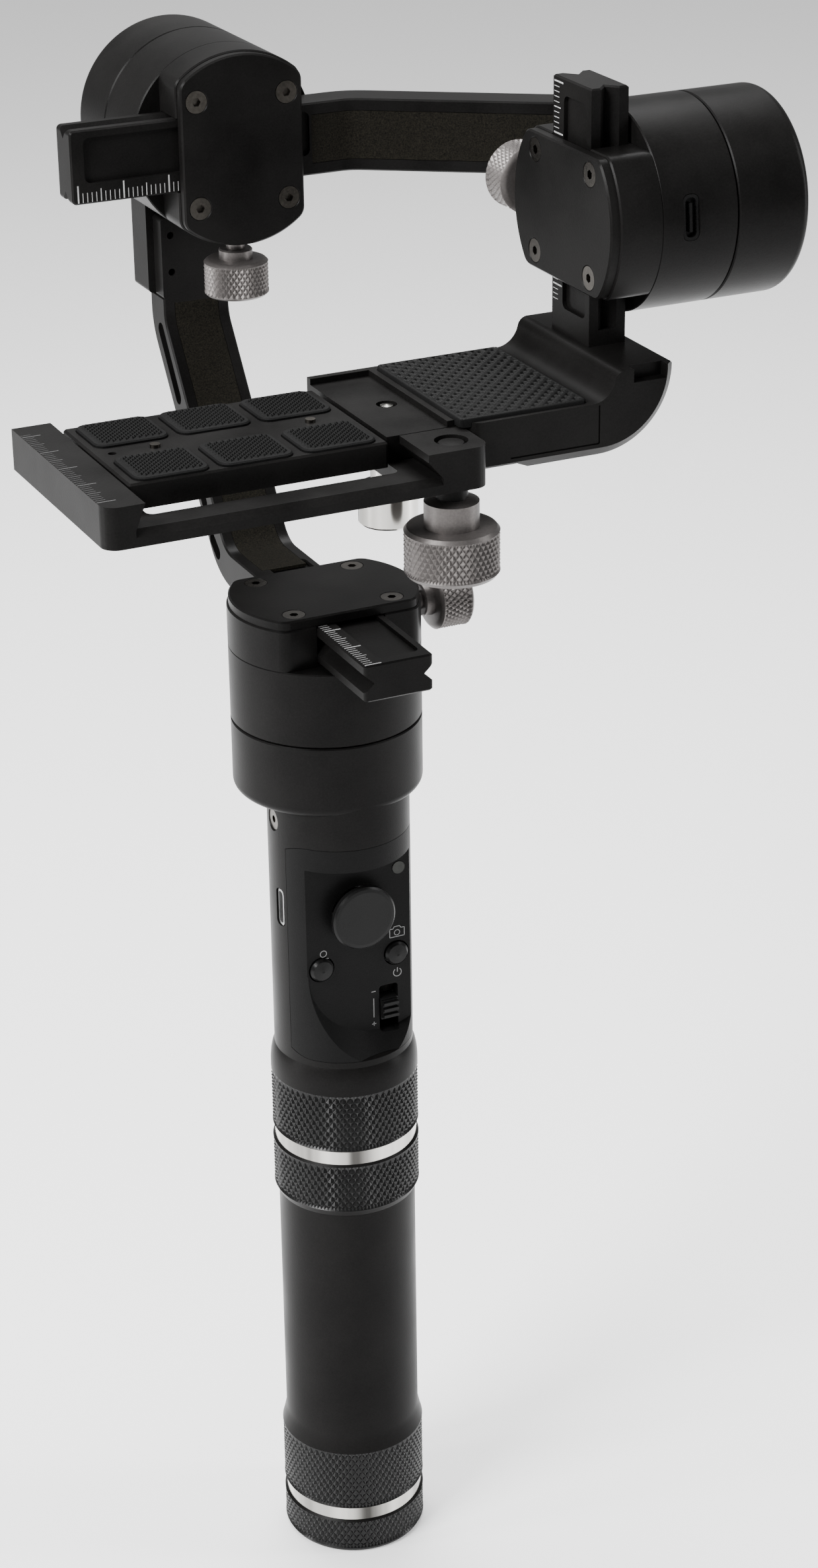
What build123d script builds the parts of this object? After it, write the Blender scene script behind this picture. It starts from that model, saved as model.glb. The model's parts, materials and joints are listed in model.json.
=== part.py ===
"""Three-axis handheld camera stabiliser: knurled battery handle, pan, roll and tilt motors
with sliding balance arms, and a camera bracket with a sliding support plate.

Millimetres, +Z up along the handle. The origin is the centre of the handle's foot, at the mouth
of its tripod thread. -Y is the side with the controls and +X the side with the tilt motor.
"""
import os

from build123d import *

os.makedirs("parts", exist_ok=True)

# ---------------------------------------------------------------- driving dimensions
# Handle, from the foot up: outer radii and heights of its stations.
tube_r = 15.4
knurl_r = 16.4
ring_r = 15.9
cell_r = 13.0
cell_length = 49.9
bore_r = 13.4
cell_tip = 1.5
spigot_r = 14.5
spigot_bore_r = 14.57
thread_r = 2.55
cap_top = 9.1
tail_ring_top = 12.4
foot_knurl_top = 28.5
foot_flare_top = 32.0
mid_knurl_bottom = 92.6
mid_knurl_top = 105.9
collar_bottom = 109.2
collar_top = 130.0
spigot_top = 118.0

# Control section
shell_inner_r = 13.6
panel_bottom = 131.5
panel_top = 182.9
panel_back = -4.7
face_y = -9.3
face_top = 177.7
scoop_x = 5.0
scoop_z = 152.0
scoop_r = 17.0
scoop_slope = 39.0
face_wall = 1.8
joystick_z = 165.0
joystick_r = 7.3
joystick_pivot_y = -6.5
button_x = 8.9
button_z = 153.0
button_r = 2.7
slider_x = 6.9
slider_z = 140.0
led_x = 9.7
led_z = 173.6
usb_z = 166.5
usb_y = -2.4
board_y = -2.2
neck_screw_z = 186.5
neck_tube_r = 13.5

# Motor module, in its own frame: u along the rail, v across it, w in from the cover plate.
motor_r = 20.5
plate_r = 20.1
plate_t = 2.0
plate_flat = 13.6
corner_r = 3.0
block_flat = 14.0
block_end = 11.0
rotor_end = 27.55
stator_start = 27.85
module_end = 44.0
wall_inner_r = 18.6
hub_r = 6.0
bearing_r = 4.5
shaft_r = 2.46
screw_u = 10.07
screw_v = 11.15
rail_half = 7.7
rail_top_w = 2.2
rail_t = 8.0
groove_half = 2.0
groove_depth = 2.2
face_pocket = (9.4, 0.9)
thumb_w = 6.4
lug_half = 9.3
lug_reach = 38.5
lug_w = (35.1, 43.8)
lug_pins = ((5.5, -24.8), (-5.5, -24.8), (5.5, -33.0), (-5.5, -33.0))
lug_pin_r = 0.8

# Motor axes: the pan axis stands behind the handle's, and the roll and tilt axes cross in height.
pan_y = motor_r - tube_r
pan_face_z = 234.6
axis_z = 320.0
roll_face_y = 41.1
tilt_face_x = 35.1
tilt_y = -34.0

# Arms
pan_rail_front = -32.3
pan_bend = (40.9, 232.4)
pan_knee = (71.5, 276.1)
roll_rail_left = -37.3
roll_bend = (25.5, 43.3)
roll_knee = (65.3, 16.75)
arm_bend_r = 7.0
edge_chamfer = 0.35
pad_t = 0.7
tilt_rail_top = 345.3
pocket_width = 3.2
pocket_depth = 2.2

# Camera bracket and slide plate
base_y = (-58.0, -17.0)
base_top = 289.2
flat_top = 288.0
base_left = -12.0
shell_right = 47.8
shell_bottom = 278.3
shell_top = 294.3
shell_arc_r = 16.0
shelf_z = 294.9
frame_x = (-73.0, 3.3)
frame_y = (-67.0, -17.0)
floor_z = (279.9, 283.0)
tongue_right = 20.0
slide_travel = 12.0
clamp_axis = (-2.0, -61.0)
lock_axis = (-3.7, -36.2)
tongue_front = -54.3
tongue_back = -21.0
block_left = -9.5
stop_right = -67.2
rail_bevel = 1.3
pad_centre = (15.6, -37.6)
pad_sink = 1.0
plate_x = (-64.4, -12.8)
plate_y = (-56.6, -21.5)
stud_rows = (-49.4, -29.1)
stud_columns = (-55.3, -38.6, -21.9)
stud_size = (14.8, 13.4)
stud_sink = 0.6
pin_x = (-52.5, -21.0)
pin_y = -39.1
pin_r = 1.0
pin_sink = 2.5

pan_frame = Plane(origin=(0, pan_y, pan_face_z), x_dir=(0, -1, 0), z_dir=(0, 0, -1))
roll_frame = Plane(origin=(0, roll_face_y, axis_z), x_dir=(-1, 0, 0), z_dir=(0, 1, 0))
tilt_frame = Plane(origin=(tilt_face_x, tilt_y, axis_z), x_dir=(0, 0, 1), z_dir=(1, 0, 0))


def keep(piece, name):
    """Label a finished piece and write it to a file of its own."""
    piece.part.label = name
    export_step(piece.part, f"parts/{name}.step")


def section_of(frame):
    """The plane through a frame's z axis and its x axis: sketches on it are (u, w)."""
    return Plane(origin=frame.origin, x_dir=frame.x_dir, z_dir=-frame.y_dir)


def outside_of(frame):
    """The frame's own plane seen from outside, so that holes go in."""
    return Plane(origin=frame.origin, x_dir=frame.x_dir, z_dir=-frame.z_dir)


def turned(frame, outline):
    """Turn a closed outline of (radius, height) points about the frame's z axis."""
    with BuildPart() as piece:
        with BuildSketch(section_of(frame)):
            with BuildLine():
                Polyline(*outline, close=True)
            make_face()
        revolve(axis=Axis(frame.origin, frame.z_dir))
    return piece


# ---------------------------------------------------------------- handle
# Tail cap: knurled foot with the tripod thread, and a spigot that screws into the grip tube
tail_cap = turned(Plane.XY, [
    (thread_r, 0), (15.2, 0), (16.0, 0.4), (knurl_r, 1.2), (knurl_r, cap_top), (spigot_r, cap_top),
    (spigot_r, 19.5), (bore_r, 19.5), (bore_r, 8.0), (thread_r, 8.0),
])
keep(tail_cap, "tail_cap")

tail_ring = turned(Plane.XY, [
    (spigot_bore_r, cap_top), (ring_r, cap_top), (ring_r, tail_ring_top), (spigot_bore_r, tail_ring_top),
])
keep(tail_ring, "tail_ring")

# Dished contact spring between the cap and the lower cell
contact_spring = turned(Plane.XY, [
    (3.0, 13.3), (9.8, 8.0), (11.0, 8.0), (11.0, 8.5), (10.2, 8.5), (3.4, 13.8), (3.0, 13.8),
])
keep(contact_spring, "battery_contact_spring")

with BuildPart() as battery_cells:
    for cell_bottom in (14.0, 64.1):
        with BuildSketch(Plane.XY.offset(cell_bottom)):
            Circle(cell_r)
        extrude(amount=cell_length - cell_tip)
        with BuildSketch(Plane.XY.offset(cell_bottom + cell_length - cell_tip)):
            Circle(4.0)
        extrude(amount=cell_tip)
keep(battery_cells, "battery_cells")

grip_tube = turned(Plane.XY, [
    (spigot_bore_r, tail_ring_top), (knurl_r, tail_ring_top), (knurl_r, foot_knurl_top),
    (tube_r, foot_flare_top), (tube_r, mid_knurl_bottom), (15.7, mid_knurl_bottom),
    (knurl_r, mid_knurl_bottom + 1.5), (knurl_r, mid_knurl_top), (spigot_r, mid_knurl_top),
    (spigot_r, spigot_top), (bore_r, spigot_top), (bore_r, 20.0), (spigot_bore_r, 20.0),
])
keep(grip_tube, "grip_tube")

upper_ring = turned(Plane.XY, [
    (spigot_bore_r, mid_knurl_top), (ring_r, mid_knurl_top), (ring_r, collar_bottom),
    (spigot_bore_r, collar_bottom),
])
keep(upper_ring, "upper_ring")

# Collar: knurled below, plain and rounded above, threaded over the grip tube's spigot
upper_collar = turned(Plane.XY, [
    (spigot_bore_r, collar_bottom), (knurl_r, collar_bottom), (knurl_r, 128.4), (16.1, 129.4),
    (tube_r, collar_top), (bore_r, collar_top), (bore_r, 118.3), (spigot_bore_r, 118.3),
])
keep(upper_collar, "upper_collar")

# Handle body: an aluminium tube with a window for the control panel and a USB opening
with BuildPart() as handle_body:
    with BuildSketch(Plane.XY.offset(collar_top)):
        Circle(tube_r)
        Circle(shell_inner_r, mode=Mode.SUBTRACT)
    extrude(amount=pan_face_z - module_end - collar_top)
    with BuildSketch(Plane.XZ.offset(-panel_back)):
        with Locations((0, (panel_bottom + panel_top) / 2)):
            RectangleRounded(30.6, panel_top - panel_bottom, 3.5)
    extrude(amount=12, mode=Mode.SUBTRACT)
    with BuildSketch(Plane.YZ.offset(-17)):
        with Locations((usb_y, usb_z)):
            RectangleRounded(3.2, 8.8, 1.2)
    extrude(amount=6, mode=Mode.SUBTRACT)
    with Locations(Plane(origin=(-tube_r, 0, neck_screw_z), z_dir=(-1, 0, 0)),
                   Plane(origin=(tube_r, 0, neck_screw_z), z_dir=(1, 0, 0))):
        CounterSinkHole(radius=1.3, counter_sink_radius=2.6, depth=2.6)
keep(handle_body, "handle_body")

# The two countersunk screws that hold the pan motor in the handle's neck
with BuildPart() as neck_screws:
    with Locations(Plane(origin=(-tube_r, 0, neck_screw_z), z_dir=(-1, 0, 0)),
                   Plane(origin=(tube_r, 0, neck_screw_z), z_dir=(1, 0, 0))):
        with Locations((0, 0, -0.35)):
            Cone(1.2, 2.3, 1.1, align=(Align.CENTER, Align.CENTER, Align.MAX))
            Cylinder(1.2, 3.8, align=(Align.CENTER, Align.CENTER, Align.MAX))
            Cylinder(0.8, 0.7, align=(Align.CENTER, Align.CENTER, Align.MAX), mode=Mode.SUBTRACT)
keep(neck_screws, "neck_screws")

# Control panel: the plastic window piece, with a flat face let into its round front
with BuildPart() as face_cutter:
    with BuildSketch(Plane.XZ.offset(-face_y)):
        with Locations((0, (scoop_z + face_top) / 2)):
            Rectangle(32, face_top - scoop_z)
    extrude(amount=7)
    with BuildSketch(Plane.XZ.offset(-face_y)):
        with Locations((scoop_x, scoop_z)):
            Circle(scoop_r)
    extrude(amount=7, taper=-scoop_slope)

with BuildPart() as control_panel:
    with BuildSketch(Plane.XY.offset(panel_bottom + 0.1)):
        Circle(tube_r)
    extrude(amount=panel_top - panel_bottom - 0.2)
    with BuildSketch(Plane.XZ.offset(-panel_back + 0.1)):
        with Locations((0, (panel_bottom + panel_top) / 2)):
            RectangleRounded(30.4, panel_top - panel_bottom - 0.2, 3.4)
    extrude(amount=12, mode=Mode.INTERSECT)
    add(face_cutter.part, mode=Mode.SUBTRACT)
    # the hollow behind the face
    with BuildSketch(Plane.XY.offset(panel_bottom + 1.6)):
        Circle(shell_inner_r)
        with Locations((0, face_y + face_wall - 10)):
            Rectangle(40, 20, mode=Mode.SUBTRACT)
    extrude(amount=panel_top - panel_bottom - 3.2, mode=Mode.SUBTRACT)
    with BuildSketch(Plane.XZ):
        with Locations((0, joystick_z)):
            Circle(6.2)
        with Locations((-button_x, button_z), (button_x, button_z)):
            Circle(button_r + 0.3)
        with Locations((led_x, led_z)):
            Circle(1.5)
        with Locations((slider_x, slider_z)):
            RectangleRounded(4.5, 11.2, 0.8)
    extrude(amount=16, mode=Mode.SUBTRACT)
keep(control_panel, "control_panel")

with BuildPart() as led_lens:
    with BuildSketch(Plane.XZ.offset(-face_y - 1.2)):
        with Locations((led_x, led_z)):
            Circle(1.45)
    extrude(amount=1.35)
keep(led_lens, "led_lens")

# Main board with its micro USB socket
with BuildPart() as main_board:
    with BuildSketch(Plane.XZ.offset(-board_y - 0.8)):
        with Locations((0, 157)):
            RectangleRounded(22, 46, 1.5)
    extrude(amount=1.6)
    with BuildSketch(Plane.YZ.offset(-15.0)):
        with Locations((usb_y, usb_z)):
            RectangleRounded(2.8, 8.4, 1.0)
    extrude(amount=5.2)
    with BuildSketch(Plane.YZ.offset(-15.0)):
        with Locations((usb_y, usb_z)):
            RectangleRounded(2.0, 7.4, 0.8)
    extrude(amount=4.2, mode=Mode.SUBTRACT)
keep(main_board, "main_board")

# Joystick: a cap on a stem, tilting in a ring that tilts in the handle
with BuildPart() as joystick_ring:
    with BuildSketch(Plane.XZ.offset(-joystick_pivot_y - 0.8)):
        with Locations((0, joystick_z)):
            RectangleRounded(8.0, 8.0, 1.2)
            Circle(2.6, mode=Mode.SUBTRACT)
    extrude(amount=1.6)
keep(joystick_ring, "joystick_ring")

joystick_axis = Plane(origin=(0, 0, joystick_z), x_dir=(1, 0, 0), z_dir=(0, -1, 0))
joystick_cap = turned(joystick_axis, [
    (0, 4.9), (1.8, 4.9), (1.8, 10.9), (6.2, 11.1), (joystick_r, 11.6), (joystick_r, 12.6),
    (6.9, 13.0), (6.2, 13.1), (0, 13.1),
])
keep(joystick_cap, "joystick_cap")

for button_name, side in (("mode_button", -1), ("shutter_button", 1)):
    button_axis = Plane(origin=(side * button_x, 0, button_z), x_dir=(1, 0, 0), z_dir=(0, -1, 0))
    button = turned(button_axis, [
        (0, 4.6), (button_r - 0.6, 4.6), (button_r, 6.0), (button_r, 9.6), (button_r - 0.5, 10.2), (0, 10.5),
    ])
    keep(button, button_name)

# Zoom slider: a small ridged block that runs up and down in its slot
with BuildPart() as zoom_slider:
    with BuildSketch(Plane.XZ.offset(6.4)):
        with Locations((slider_x, slider_z)):
            Rectangle(4.0, 5.0)
    extrude(amount=3.4)
    with BuildSketch(Plane.XZ.offset(9.8)):
        with Locations((slider_x, slider_z)):
            Rectangle(3.6, 4.4)
    extrude(amount=0.5)
    with BuildSketch(Plane.XZ.offset(10.3)):
        with Locations((slider_x, slider_z + 1.5), (slider_x, slider_z), (slider_x, slider_z - 1.5)):
            Rectangle(3.6, 0.7)
    extrude(amount=0.6)
keep(zoom_slider, "zoom_slider")


# ---------------------------------------------------------------- motor modules
def motor_block(name, frame):
    """The block that clamps a rail, its cover plate, the plate's screws and the thumb screw."""
    rail_bottom = rail_top_w + rail_t + 0.2
    outside = outside_of(frame)

    with BuildPart() as cover_plate:
        with BuildSketch(frame) as plate_outline:
            Circle(plate_r)
            Rectangle(2 * plate_flat, 2 * motor_r, mode=Mode.INTERSECT)
            fillet(plate_outline.vertices(), corner_r)
        extrude(amount=plate_t)
        front = cover_plate.faces().sort_by(Axis(frame.origin, frame.z_dir))[0]
        chamfer(front.outer_wire().edges(), 0.35)
        with Locations(outside):
            with GridLocations(2 * screw_u, 2 * screw_v, 2, 2):
                CounterSinkHole(radius=1.4, counter_sink_radius=2.55, depth=plate_t)
    keep(cover_plate, f"{name}_cover_plate")

    with BuildPart() as plate_screws:
        with Locations(outside):
            with GridLocations(2 * screw_u, 2 * screw_v, 2, 2):
                with Locations((0, 0, -0.08)):
                    Cone(1.2, 2.35, 1.15, align=(Align.CENTER, Align.CENTER, Align.MAX))
                    Cylinder(1.2, 9.0, align=(Align.CENTER, Align.CENTER, Align.MAX))
        with BuildSketch(frame):
            with GridLocations(2 * screw_u, 2 * screw_v, 2, 2):
                RegularPolygon(0.95, 6)
        extrude(amount=1.0, mode=Mode.SUBTRACT)
    keep(plate_screws, f"{name}_plate_screws")

    with BuildPart() as block:
        with BuildSketch(frame.offset(plate_t)) as block_outline:
            Circle(motor_r)
            Rectangle(2 * block_flat, 2 * motor_r + 1, mode=Mode.INTERSECT)
            fillet(block_outline.vertices(), corner_r)
        extrude(amount=block_end - plate_t)
        front = block.faces().sort_by(Axis(frame.origin, frame.z_dir))[0]
        chamfer(front.outer_wire().edges(), 0.3)
        with BuildSketch(frame.offset(plate_t)):
            Rectangle(60, 2 * rail_half + 0.2)
        extrude(amount=rail_bottom - plate_t, mode=Mode.SUBTRACT)
        with BuildSketch(frame.offset(plate_t)):
            with GridLocations(2 * screw_u, 2 * screw_v, 2, 2):
                Circle(1.3)
        extrude(amount=7.6, mode=Mode.SUBTRACT)
        thumb = Plane(origin=frame.from_local_coords((0, 0, thumb_w)), x_dir=frame.x_dir, z_dir=-frame.y_dir)
        with BuildSketch(thumb.offset(rail_half - 1)):
            Circle(2.06)
        extrude(amount=motor_r, mode=Mode.SUBTRACT)
    keep(block, f"{name}_block")

    thumb_screw = turned(thumb, [
        (0, 7.9), (1.4, 7.9), (2.0, 8.5), (2.0, 22.2), (3.6, 22.2), (3.6, 24.4), (6.4, 24.4),
        (6.9, 24.9), (6.9, 31.9), (6.4, 32.4), (0, 32.4),
    ])
    keep(thumb_screw, f"{name}_thumb_screw")


def motor_rotor(name, frame, usb_window=False):
    """The turning half of a motor: its drum, magnet ring and shaft."""
    drum = turned(frame, [
        (shaft_r, block_end), (motor_r - 0.25, block_end), (motor_r, block_end + 0.25),
        (motor_r, rotor_end - 0.25), (motor_r - 0.25, rotor_end), (wall_inner_r, rotor_end),
        (wall_inner_r, 14.0), (5.0, 14.0), (5.0, 15.0), (shaft_r, 15.0),
    ])
    with BuildPart() as rotor:
        add(drum.part)
        if usb_window:
            with BuildSketch(usb_plane.offset(-4)):
                RectangleRounded(3.6, 9.0, 1.4)
            extrude(amount=8, mode=Mode.SUBTRACT)
    keep(rotor, f"{name}_rotor_housing")

    magnet_ring = turned(frame, [(16.8, 15.0), (wall_inner_r, 15.0), (wall_inner_r, 26.0), (16.8, 26.0)])
    keep(magnet_ring, f"{name}_magnet_ring")

    shaft = turned(frame, [(0, block_end), (shaft_r, block_end), (shaft_r, 40.4), (2.1, 40.8), (0, 40.8)])
    keep(shaft, f"{name}_shaft")


def motor_stator(name, frame, has_lug):
    """The still half of a motor: its closed drum with the bearing tube, the windings and bearings."""
    with BuildPart() as housing:
        if has_lug:
            with BuildSketch(frame.offset(lug_w[0])):
                with Locations((0, -(lug_reach + 12) / 2)):
                    RectangleRounded(2 * lug_half, lug_reach - 12, 1.0)
            extrude(amount=lug_w[1] - lug_w[0])
            with BuildSketch(frame.offset(stator_start)):
                Circle(20.0)
            extrude(amount=module_end, mode=Mode.SUBTRACT)
        else:
            # spigot and flush front where the drum stands on the handle
            with BuildSketch(Plane.XY.offset(pan_face_z - module_end)):
                Circle(tube_r)
            extrude(amount=2.6)
            with BuildSketch(Plane.XY.offset(pan_face_z - module_end)):
                Circle(neck_tube_r)
                Circle(11.5, mode=Mode.SUBTRACT)
            extrude(amount=-7.0)
            with Locations(Plane(origin=(-neck_tube_r, 0, neck_screw_z), z_dir=(-1, 0, 0)),
                           Plane(origin=(neck_tube_r, 0, neck_screw_z), z_dir=(1, 0, 0))):
                Hole(1.3, depth=3)
        with BuildSketch(section_of(frame)) as profile:
            with BuildLine():
                Polyline(
                    (0, module_end), (motor_r, module_end), (motor_r, stator_start + 0.25),
                    (motor_r - 0.25, stator_start), (18.7, stator_start), (18.7, 41.0), (hub_r, 41.0),
                    (hub_r, 15.4), (bearing_r, 15.4), (bearing_r, 41.0), (0, 41.0), close=True,
                )
            make_face()
            corner = profile.vertices().sort_by_distance((motor_r, module_end, 0))[0]
            fillet(corner, 2.0)
        revolve(axis=Axis(frame.origin, frame.z_dir))
        if has_lug:
            with BuildSketch(frame.offset(lug_w[0])):
                with Locations(*lug_pins):
                    Circle(lug_pin_r)
            extrude(amount=5, mode=Mode.SUBTRACT)
    keep(housing, f"{name}_stator_housing")

    with BuildPart() as windings:
        with BuildSketch(frame.offset(15.6)):
            Circle(16.2)
            Circle(hub_r, mode=Mode.SUBTRACT)
            with PolarLocations(13.4, 12):
                Rectangle(6.0, 2.0, mode=Mode.SUBTRACT)
        extrude(amount=9.8)
    keep(windings, f"{name}_stator_windings")

    with BuildPart() as bearings:
        for start in (15.7, 37.6):
            with BuildSketch(frame.offset(start)):
                Circle(bearing_r)
                Circle(2.5, mode=Mode.SUBTRACT)
            extrude(amount=3.0)
    keep(bearings, f"{name}_bearings")


# The USB port sits in the side of the tilt rotor, just above the front
usb_direction = Vector(0, -1, 0).rotate(Axis.X, -5)
usb_plane = Plane(
    origin=Vector(tilt_face_x + 17.3, tilt_y, axis_z) + usb_direction * motor_r,
    x_dir=(1, 0, 0), z_dir=usb_direction,
)
with BuildPart() as tilt_usb_port:
    with BuildSketch(usb_plane.offset(-1.8)):
        RectangleRounded(3.4, 8.8, 1.3)
        RectangleRounded(2.4, 7.6, 1.0, mode=Mode.SUBTRACT)
        Rectangle(0.6, 5.6)
    extrude(amount=1.4)
    with BuildSketch(usb_plane.offset(-1.8)):
        RectangleRounded(3.4, 8.8, 1.3)
    extrude(amount=0.3)
keep(tilt_usb_port, "tilt_usb_port")

for motor_name, motor_frame in (("pan", pan_frame), ("roll", roll_frame), ("tilt", tilt_frame)):
    motor_block(motor_name, motor_frame)
    motor_rotor(motor_name, motor_frame, usb_window=motor_name == "tilt")
    motor_stator(motor_name, motor_frame, has_lug=motor_name != "pan")


# ---------------------------------------------------------------- arms
def arm_profile(path, far_side, depth=rail_t):
    """An arm's side outline: its inner line, carried round the bends and thickened outwards."""
    with BuildSketch() as outline:
        with BuildLine():
            FilletPolyline(*path, radius=arm_bend_r)
            offset(amount=depth, side=far_side)
        make_face()
    return outline.sketch


pan_path = [(pan_rail_front, pan_bend[1]), pan_bend, pan_knee, (pan_knee[0], axis_z - lug_reach - 0.2)]
roll_path = [(roll_rail_left, roll_bend[1]), roll_bend, roll_knee, (roll_knee[0], tilt_y + lug_reach + 0.2)]


pan_pad_path = [(26.0, pan_bend[1]), pan_bend, pan_knee, (pan_knee[0], 280.0)]
roll_pad_path = [(16.5, roll_bend[1]), roll_bend, roll_knee, (roll_knee[0], 6.0)]


def finish_arm(name, blank, frame, across, pad_section, rail_u, pockets):
    """Cut an arm's grooves, rail pocket, pad seat and side pockets, and make its pad."""
    with BuildPart() as arm:
        add(blank.part)
        # V grooves along both narrow sides of the rail
        for side in (-1, 1):
            groove = Plane(origin=frame.origin, x_dir=frame.y_dir * side, z_dir=frame.x_dir)
            with BuildSketch(groove.offset(rail_u[0])):
                with BuildLine():
                    w_mid = side * (rail_top_w + rail_t / 2)
                    Polyline(
                        (rail_half, w_mid - groove_half), (rail_half - groove_depth, w_mid),
                        (rail_half, w_mid + groove_half), close=True,
                    )
                make_face()
            extrude(amount=rail_u[1] - rail_u[0], mode=Mode.SUBTRACT)
        # shallow pocket in the rail's wide face, off centre to leave room for the scale
        with BuildSketch(frame.offset(rail_top_w)):
            with Locations(((rail_u[0] + rail_u[1]) / 2 - 3, 1.3 if name != "pan" else -1.3)):
                RectangleRounded(rail_u[1] - rail_u[0], face_pocket[0], 1.4)
        extrude(amount=face_pocket[1], mode=Mode.SUBTRACT)
        # seat of the pad, which follows the inner face round the bends
        with BuildSketch(across.offset(-5.2)):
            add(pad_section)
        extrude(amount=10.4, mode=Mode.SUBTRACT)
        # oval lightening pockets in both narrow sides
        for x, y, length, angle in pockets:
            for base in (-rail_half, rail_half - pocket_depth):
                with BuildSketch(across.offset(base)):
                    with Locations(Location((x, y))):
                        SlotOverall(length, pocket_width, rotation=angle)
                extrude(amount=pocket_depth, mode=Mode.SUBTRACT)
    keep(arm, f"{name}_arm")

    with BuildPart() as pad:
        with BuildSketch(across.offset(-5.1)):
            add(pad_section)
        extrude(amount=10.2)
    keep(pad, f"{name}_arm_pad")


lap_w = (pan_knee[0] - roll_face_y, lug_w[0])

with BuildPart() as pan_arm:
    with BuildSketch(Plane.YZ.offset(-rail_half)):
        add(arm_profile(pan_path, Side.RIGHT))
    extrude(amount=2 * rail_half)
    ends = pan_arm.edges().filter_by(Axis.Z).group_by(Axis.Y)[0]
    fillet(ends, 1.0)
    sides = pan_arm.faces().sort_by(Axis.X)
    chamfer(sides[0].outer_wire().edges() + sides[-1].outer_wire().edges(), edge_chamfer)
    with BuildSketch(roll_frame.offset(lap_w[0])):
        with Locations((0, -29.9)):
            RectangleRounded(2 * rail_half, 18.2, 0.8)
    extrude(amount=lap_w[1] - lap_w[0])
    with BuildSketch(roll_frame.offset(lap_w[0])):
        with Locations(*lug_pins):
            Circle(lug_pin_r)
    extrude(amount=10, mode=Mode.SUBTRACT)
finish_arm(
    "pan", pan_arm, pan_frame, Plane.YZ, arm_profile(pan_pad_path, Side.RIGHT, pad_t), (-21.0, 37.5),
    ((69.6, 267.0, 19.0, 56.0), (56.5, 246.5, 19.0, 55.0), (46.6, 231.6, 6.5, 40.0)),
)

with BuildPart() as roll_arm:
    with BuildSketch(Plane.XY.offset(axis_z - rail_half)):
        add(arm_profile(roll_path, Side.LEFT))
    extrude(amount=2 * rail_half)
    ends = roll_arm.edges().filter_by(Axis.Y).group_by(Axis.X)[0]
    fillet(ends, 1.0)
    sides = roll_arm.faces().sort_by(Axis.Z)
    chamfer(sides[0].outer_wire().edges() + sides[-1].outer_wire().edges(), edge_chamfer)
    with BuildSketch(tilt_frame.offset(lap_w[0])):
        with Locations((0, -29.6)):
            RectangleRounded(2 * rail_half, 17.6, 0.8)
    extrude(amount=lap_w[1] - lap_w[0])
    with BuildSketch(tilt_frame.offset(lap_w[0])):
        with Locations(*lug_pins):
            Circle(lug_pin_r)
    extrude(amount=10, mode=Mode.SUBTRACT)
finish_arm(
    "roll", roll_arm, roll_frame, Plane.XY.offset(axis_z), arm_profile(roll_pad_path, Side.LEFT, pad_t),
    (-13.0, 37.4), (),
)

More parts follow.
